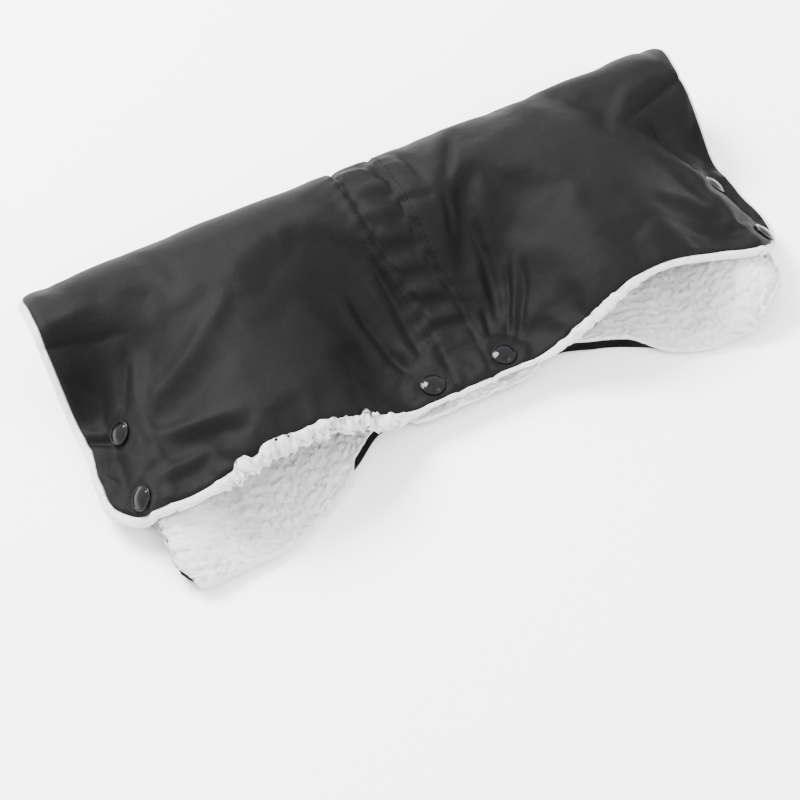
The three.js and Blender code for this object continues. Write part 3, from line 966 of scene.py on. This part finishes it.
def stitch_row(line, normals):
    """Points and faces of stitches along a line on the cloth, each a thin bead half sunk in it."""
    lengths = np.concatenate([[0], np.cumsum(np.linalg.norm(np.diff(line, axis=0), axis=1))])
    starts = np.arange(1.0, lengths[-1] - STITCH["length"], STITCH["length"] + STITCH["gap"])
    along_line = np.linspace(0, 1, 6)
    girth = STITCH["radius"] * np.sin(np.pi * (0.12 + 0.76 * along_line)) ** 0.6
    girth[[0, -1]] *= 0.35
    ring = np.linspace(0, 2 * np.pi, STITCH["sides"], endpoint=False)
    points, faces = [], []
    for start in starts:
        places = start + along_line * STITCH["length"]
        middle = np.stack([np.interp(places, lengths, line[:, k]) for k in range(3)], -1)
        up = np.stack([np.interp(places, lengths, normals[:, k]) for k in range(3)], -1)
        up /= np.linalg.norm(up, axis=1, keepdims=True)
        ahead = np.gradient(middle, axis=0)
        across = np.cross(up, ahead / np.linalg.norm(ahead, axis=1, keepdims=True))
        round_it = np.cos(ring)[:, None, None] * across + np.sin(ring)[:, None, None] * up
        base = sum(len(p) for p in points)
        points.append((middle + 0.1 * up + girth[:, None] * round_it).reshape(-1, 3))
        ids = base + np.arange(STITCH["sides"] * len(places)).reshape(STITCH["sides"], -1)
        after = np.roll(ids, -1, axis=0)
        faces.append(quads(ids[:, :-1], after[:, :-1], after[:, 1:], ids[:, 1:]))
        for cap in (ids[:, 0], ids[::-1, -1]):
            faces.append(np.array([[cap[0], cap[3], cap[2], cap[1]], [cap[0], cap[5], cap[4], cap[3]]]))
    return np.concatenate(points), np.concatenate(faces)


def build_stitches(quilt, side_count):
    """Two rows beside each seam of the strip on both halves, and one across the strip at its hem."""
    seam_columns = [side_count - 3, side_count + STRIP_STEPS + 1]
    for half, rows_of in halves_of(quilt.v[0]).items():
        rows = [(quilt.points[c, rows_of], quilt.normals[c, rows_of]) for c in seam_columns]
        if half == "upper":
            hem = int(np.argmin(np.abs(unrolled(quilt.v[len(quilt.v) // 2]) - HEM_Y)))
            over = slice(side_count + 1, side_count + STRIP_STEPS - 3)
            rows.append((quilt.points[over, hem], quilt.normals[over, hem]))
        points, faces = [], []
        for line, normals in rows:
            trimmed = slice(1, -3) if half == "upper" and len(line) > STRIP_STEPS else slice(3, -1)
            some, over_faces = stitch_row(line[trimmed], normals[trimmed])
            faces.append(over_faces + sum(len(p) for p in points))
            points.append(some)
        piece = mesh_object(f"{half}_stitches", np.concatenate(points) * MM, np.concatenate(faces))
        dress(piece, "black_shell")
        hinge_blend(piece, half)


# ---- Pile lining ----

LINING_PARTS = ["left_end", "left", "centre", "right", "right_end"]
TUFT_LIFT = 2.0  # tufts of the fluffy rim lie over the shell's edge
TUFT_REACH = 3.6


def rim_profile(quilt):
    """Outer and inner depth of the lining, which turns into a round roll past the shell's edge."""
    start = turned_in(quilt.u, quilt.lip) + 0.35 - 1.5 * fluffy_rim(quilt.u, quilt.side)
    thick = rim_thickness(quilt.u, quilt.side, quilt.lip)
    reach = np.clip(quilt.past / (RIM + 0.15), 0, 1)
    half = thick / 2 * np.sqrt(np.maximum(1 - reach**2.4, 0)) + 0.05
    centre = start + thick / 2
    rise = smooth(0.25, 0.75, quilt.past)
    outer = np.where(quilt.past > 0.25, mix(LINING_DEPTH[0], centre - half, rise), LINING_DEPTH[0])
    inner = mix(LINING_DEPTH[1], centre + half, smooth(-9, 1.5, quilt.past))
    clear = shell_turn(quilt.u, quilt.lip, quilt.past) + SHELL_DEPTH[1] + 0.5
    outer = np.where(quilt.past > 0.25, outer, np.maximum(outer, clear))
    inner = np.maximum(inner, outer + 0.4)
    return outer, inner


def pile_height(points, amount):
    """Lumps and curls of the pile, in millimetres, at points in millimetres."""
    wander = np.stack([value_noise(points, 6.0, s) for s in (11, 12, 13)], -1) * 1.8
    moved = points + wander
    big = clumps(moved, 7.5, 21)
    small = clumps(moved, 3.6, 31)
    fine = value_noise(points, 1.9, 41)
    return amount * (2.3 * big + 2.3 * small + 1.1 * fine - 1.9)


def build_lining(drape):
    positive = side_columns(HALF_LENGTH - RIM, 1.4, 22)
    quilt = Quilt(both_sides(positive, 18, rimmed=True), crowded_rows(261), drape, rimmed=True)
    outer_depth, inner_depth = rim_profile(quilt)
    well = np.max([smooth(WELL_RADIUS + 4.5, WELL_RADIUS, snap.gap(quilt.bare)) for snap in SNAPS], axis=0)
    outer_depth = mix(outer_depth, np.minimum(outer_depth, WELL_DEPTH[0]), well)
    inner_depth = mix(inner_depth, np.minimum(inner_depth, WELL_DEPTH[1]), well)
    base_outer = quilt.sunk(outer_depth)
    base_inner = quilt.sunk(inner_depth, mix(quilt.relief * 0.6, quilt.relief, smooth(-9, 0, quilt.past)))
    shape = quilt.u.shape
    fluff = fluffy_rim(quilt.u, quilt.side)
    fluff_inner = pile_height(base_inner.reshape(-1, 3), 1.0).reshape(shape)
    fluff_outer = pile_height(base_outer.reshape(-1, 3), 1.0).reshape(shape)
    inner_push = fluff_inner * smooth(RIM, RIM - 3.0, quilt.past) * (1 - well)
    outer_push = fluff_outer * smooth(0.4, 1.6, quilt.past) * (0.25 + 1.5 * fluff)
    outwards = pile_height(base_outer.reshape(-1, 3) * 0.8 + 50.0, 1.0).reshape(shape)
    ahead = np.stack([np.zeros(shape), -np.ones(shape), np.zeros(shape)], -1)
    forward = ahead * (outwards * smooth(0.5, 4.0, quilt.past) * (0.25 + 1.9 * fluff))[..., None]
    tufts = np.clip(value_noise(base_outer.reshape(-1, 3), 5.5, 61) * 1.6 + 0.35, 0, 1).reshape(shape)
    tufts = tufts * fluff * smooth(0.2, 0.9, quilt.past) * smooth(4.8, 2.6, quilt.past)
    over = tufts[..., None] * (quilt.normals * TUFT_LIFT - quilt.outwards * TUFT_REACH)
    inner = quilt.rolled(base_inner - quilt.normals * inner_push[..., None] + forward, LIP_START)
    outer = quilt.rolled(base_outer + quilt.normals * outer_push[..., None] + forward + over, LIP_START)
    for half, rows_of in halves_of(quilt.v[len(quilt.v) // 2]).items():
        cut = (slice(None), rows_of)
        piece = slab(f"{half}_pile", outer[cut], inner[cut])
        dress(piece, "white_pile")
        lengths = [f"{half}_lining_{part}" for part in LINING_PARTS]
        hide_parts(*with_spine(half, lengths, ["spine_lining"]))
        hinge_blend(piece, half)


# ---- Snaps: profiles as (radius, height along the axis) in millimetres ----


def arc_points(centre, radius, start, end, steps):
    """Points round a centre, by angles in degrees from the outward direction."""
    angles = np.radians(np.linspace(start, end, steps))
    return [(centre[0] + radius * math.cos(a), centre[1] + radius * math.sin(a)) for a in angles]


CAP_PROFILE = [
    (0, 5.3), (1.9, 5.3), (1.9, 9.75), (5.9, 9.75), (6.6, 9.8),
    *arc_points((6.75, 10.55), 0.75, -90, 70, 9),
    (6.75, 11.22), (6.55, 11.2), (6.35, 11.28),
    *[(r, 12.75 - 1.42 * (r / 6.2) ** 2.4) for r in np.linspace(6.15, 0.6, 10)],
    (0, 12.75),
]
SOCKET_PROFILE = [
    (0, 4.9), (0, 3.0), (2.5, 3.0), (2.5, 2.35), (3.3, 2.3), (3.3, 1.1), (2.5, 1.05), (2.45, 0.6),
    *arc_points((2.85, 0.6), 0.4, 180, 270, 4),
    (3.9, 0.25), *arc_points((4.1, 0.75), 0.5, -80, 0, 4), (4.7, 2.0), (5.3, 2.35),
    *arc_points((5.3, 2.85), 0.5, -80, 80, 6), (5.2, 3.5), (5.2, 4.9), (0, 4.9),
]
STUD_PROFILE = [
    (0, -4.9), (5.3, -4.9), *arc_points((5.3, -4.4), 0.45, -80, 80, 6), (4.4, -3.7), (2.9, -3.1),
    (2.2, -2.6), (1.75, -1.8), (1.65, -0.4), (1.75, 0.3), *arc_points((1.1, 1.25), 1.0, -35, 80, 8),
    (0.9, 2.45), (0, 2.5),
]
POST_PROFILE = [
    (0, -11.3), (3.9, -11.3), *arc_points((4.5, -10.7), 0.6, -90, 60, 7), (4.4, -10.15), (1.9, -10.1),
    (1.9, -5.3), (0, -5.3),
]


SPRING = {"wire": 0.3, "radius": 2.75, "height": 1.7, "sides": 8, "steps": 40, "open_degrees": 24}
SHARP_ANGLE = math.radians(40)  # edges bent more than this stay sharp


def turned(profile, snap, sides):
    """Points and faces of a profile turned about a snap's axis. Its first and last point lie on the axis."""
    spokes = snap.spokes(np.linspace(0, 2 * np.pi, sides, endpoint=False))
    rings = []
    for radius, height in profile[1:-1]:
        rings.append(snap.point + snap.axis * height + max(radius, 0.02) * spokes)
    ends = [snap.point + snap.axis * profile[k][1] for k in (0, -1)]
    count = len(rings)
    ids = np.arange(count * sides).reshape(count, sides)
    after = np.roll(ids, -1, axis=1)
    faces = quads(ids[:-1], after[:-1], after[1:], ids[1:]).tolist()
    caps = [(count * sides, int(b), int(a)) for a, b in zip(ids[0], after[0])]
    caps += [(count * sides + 1, int(a), int(b)) for a, b in zip(ids[-1], after[-1])]
    return np.concatenate([*rings, ends]), [*faces, *caps]


def split_ring(snap):
    """Points and faces of the wire ring that grips the stud, open at one place."""
    gap = SPRING["open_degrees"] / 2
    spokes = snap.spokes(np.radians(np.linspace(gap, 360 - gap, SPRING["steps"])))
    girth = np.radians(np.linspace(0, 360, SPRING["sides"], endpoint=False))[:, None, None]
    out = SPRING["radius"] + SPRING["wire"] * np.cos(girth)
    up = SPRING["height"] + SPRING["wire"] * np.sin(girth)
    points = (snap.point + out * spokes + up * snap.axis).reshape(-1, 3)
    ids = np.arange(len(points)).reshape(SPRING["sides"], SPRING["steps"])
    after = np.roll(ids, -1, axis=0)
    faces = quads(ids[:, :-1], after[:, :-1], after[:, 1:], ids[:, 1:]).tolist()
    return points, [*faces, ids[:, 0].tolist(), ids[::-1, -1].tolist()]


def build_snap_piece(kind, snap, shape, body, slot):
    """A metal piece from points and faces, with its faces out and its sharp pressed edges kept."""
    points, faces = shape
    mesh = bpy.data.meshes.new(f"{kind}_{snap.name}")
    mesh.from_pydata((points * MM).tolist(), [], faces)
    mesh.validate()
    mesh.shade_smooth()
    edited = bmesh.new()
    edited.from_mesh(mesh)
    bmesh.ops.recalc_face_normals(edited, faces=edited.faces)
    for edge in edited.edges:
        edge.smooth = edge.calc_face_angle(0) < SHARP_ANGLE
    edited.to_mesh(mesh)
    edited.free()
    piece = linked(mesh.name, mesh)
    dress(piece, slot)
    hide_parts(f"snap_{kind}_{snap.name}")
    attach(piece, body)


def build_snaps():
    for snap in SNAPS:
        build_snap_piece("cap", snap, turned(CAP_PROFILE, snap, 64), "upper_half", "black_enamel")
        build_snap_piece("socket", snap, turned(SOCKET_PROFILE, snap, 48), "upper_half", "nickel")
        build_snap_piece("stud", snap, turned(STUD_PROFILE, snap, 48), "lower_half", "nickel")
        build_snap_piece("post", snap, turned(POST_PROFILE, snap, 48), "lower_half", "black_enamel")
        build_snap_piece("spring", snap, split_ring(snap), "upper_half", "nickel")


# ---- Floor, light and camera, in metres ----

WORLD_STRENGTH = 2.9
LIGHT_AIM = (0, 0, 0.03)
CAMERA_AZIMUTH = math.radians(-27.5)
CAMERA_ELEVATION = math.radians(55.3)
CAMERA_DISTANCE = 1.3
CAMERA_AIM = (-0.0445, -0.0653, 0.020)
CAMERA_LENS = 101.5  # millimetres, on a sensor 36 wide

def build_stage():
    bpy.ops.mesh.primitive_plane_add(size=6, location=(0, 0, -0.0004))
    floor = bpy.context.object
    floor.name = "floor"

    def pale(tree, shader):
        shader.inputs["Base Color"].default_value = (0.97, 0.97, 0.97, 1)
        shader.inputs["Roughness"].default_value = 0.8

    floor.data.materials.append(material("floor", pale))
    world = bpy.data.worlds.new("studio")
    bpy.context.scene.world = world
    world.use_nodes = True
    world.node_tree.nodes["Background"].inputs["Color"].default_value = (1, 1, 1, 1)
    world.node_tree.nodes["Background"].inputs["Strength"].default_value = WORLD_STRENGTH


def add_light(name, place, size, power):
    data = bpy.data.lights.new(name, "AREA")
    data.size = size
    data.energy = power
    lamp = linked(name, data)
    lamp.location = place
    lamp.rotation_euler = (Vector(LIGHT_AIM) - Vector(place)).to_track_quat("-Z", "Y").to_euler()


def build_camera():
    back = Vector((
        math.sin(CAMERA_AZIMUTH) * math.cos(CAMERA_ELEVATION),
        -math.cos(CAMERA_AZIMUTH) * math.cos(CAMERA_ELEVATION),
        math.sin(CAMERA_ELEVATION),
    ))
    data = bpy.data.cameras.new("camera")
    data.sensor_width = 36
    data.lens = CAMERA_LENS
    camera = linked("camera", data)
    camera.location = Vector(CAMERA_AIM) + back * CAMERA_DISTANCE
    camera.rotation_euler = (-back).to_track_quat("-Z", "Y").to_euler()
    bpy.context.scene.camera = camera


def build_quilt():
    drape = Drape()
    positive = side_columns(HALF_LENGTH - RIM, 1.8, 18)
    face = Quilt(both_sides(positive, STRIP_STEPS), crowded_rows(221), drape)
    build_shell(face, len(positive))
    build_stitches(face, len(positive))
    under = lowest_nearby(face.relief, 2) - 0.1
    build_elastic(face, under)
    every_other = (slice(None, None, 2), slice(None, None, 2))
    build_wadding(face.thinned(*every_other), under[every_other])
    build_lining(drape)


build_stage()
build_camera()
add_light("key", (-0.5, 1.0, 1.3), 0.7, 120)
add_light("fill", (0.5, -1.0, 1.3), 1.2, 26)
build_quilt()
build_snaps()
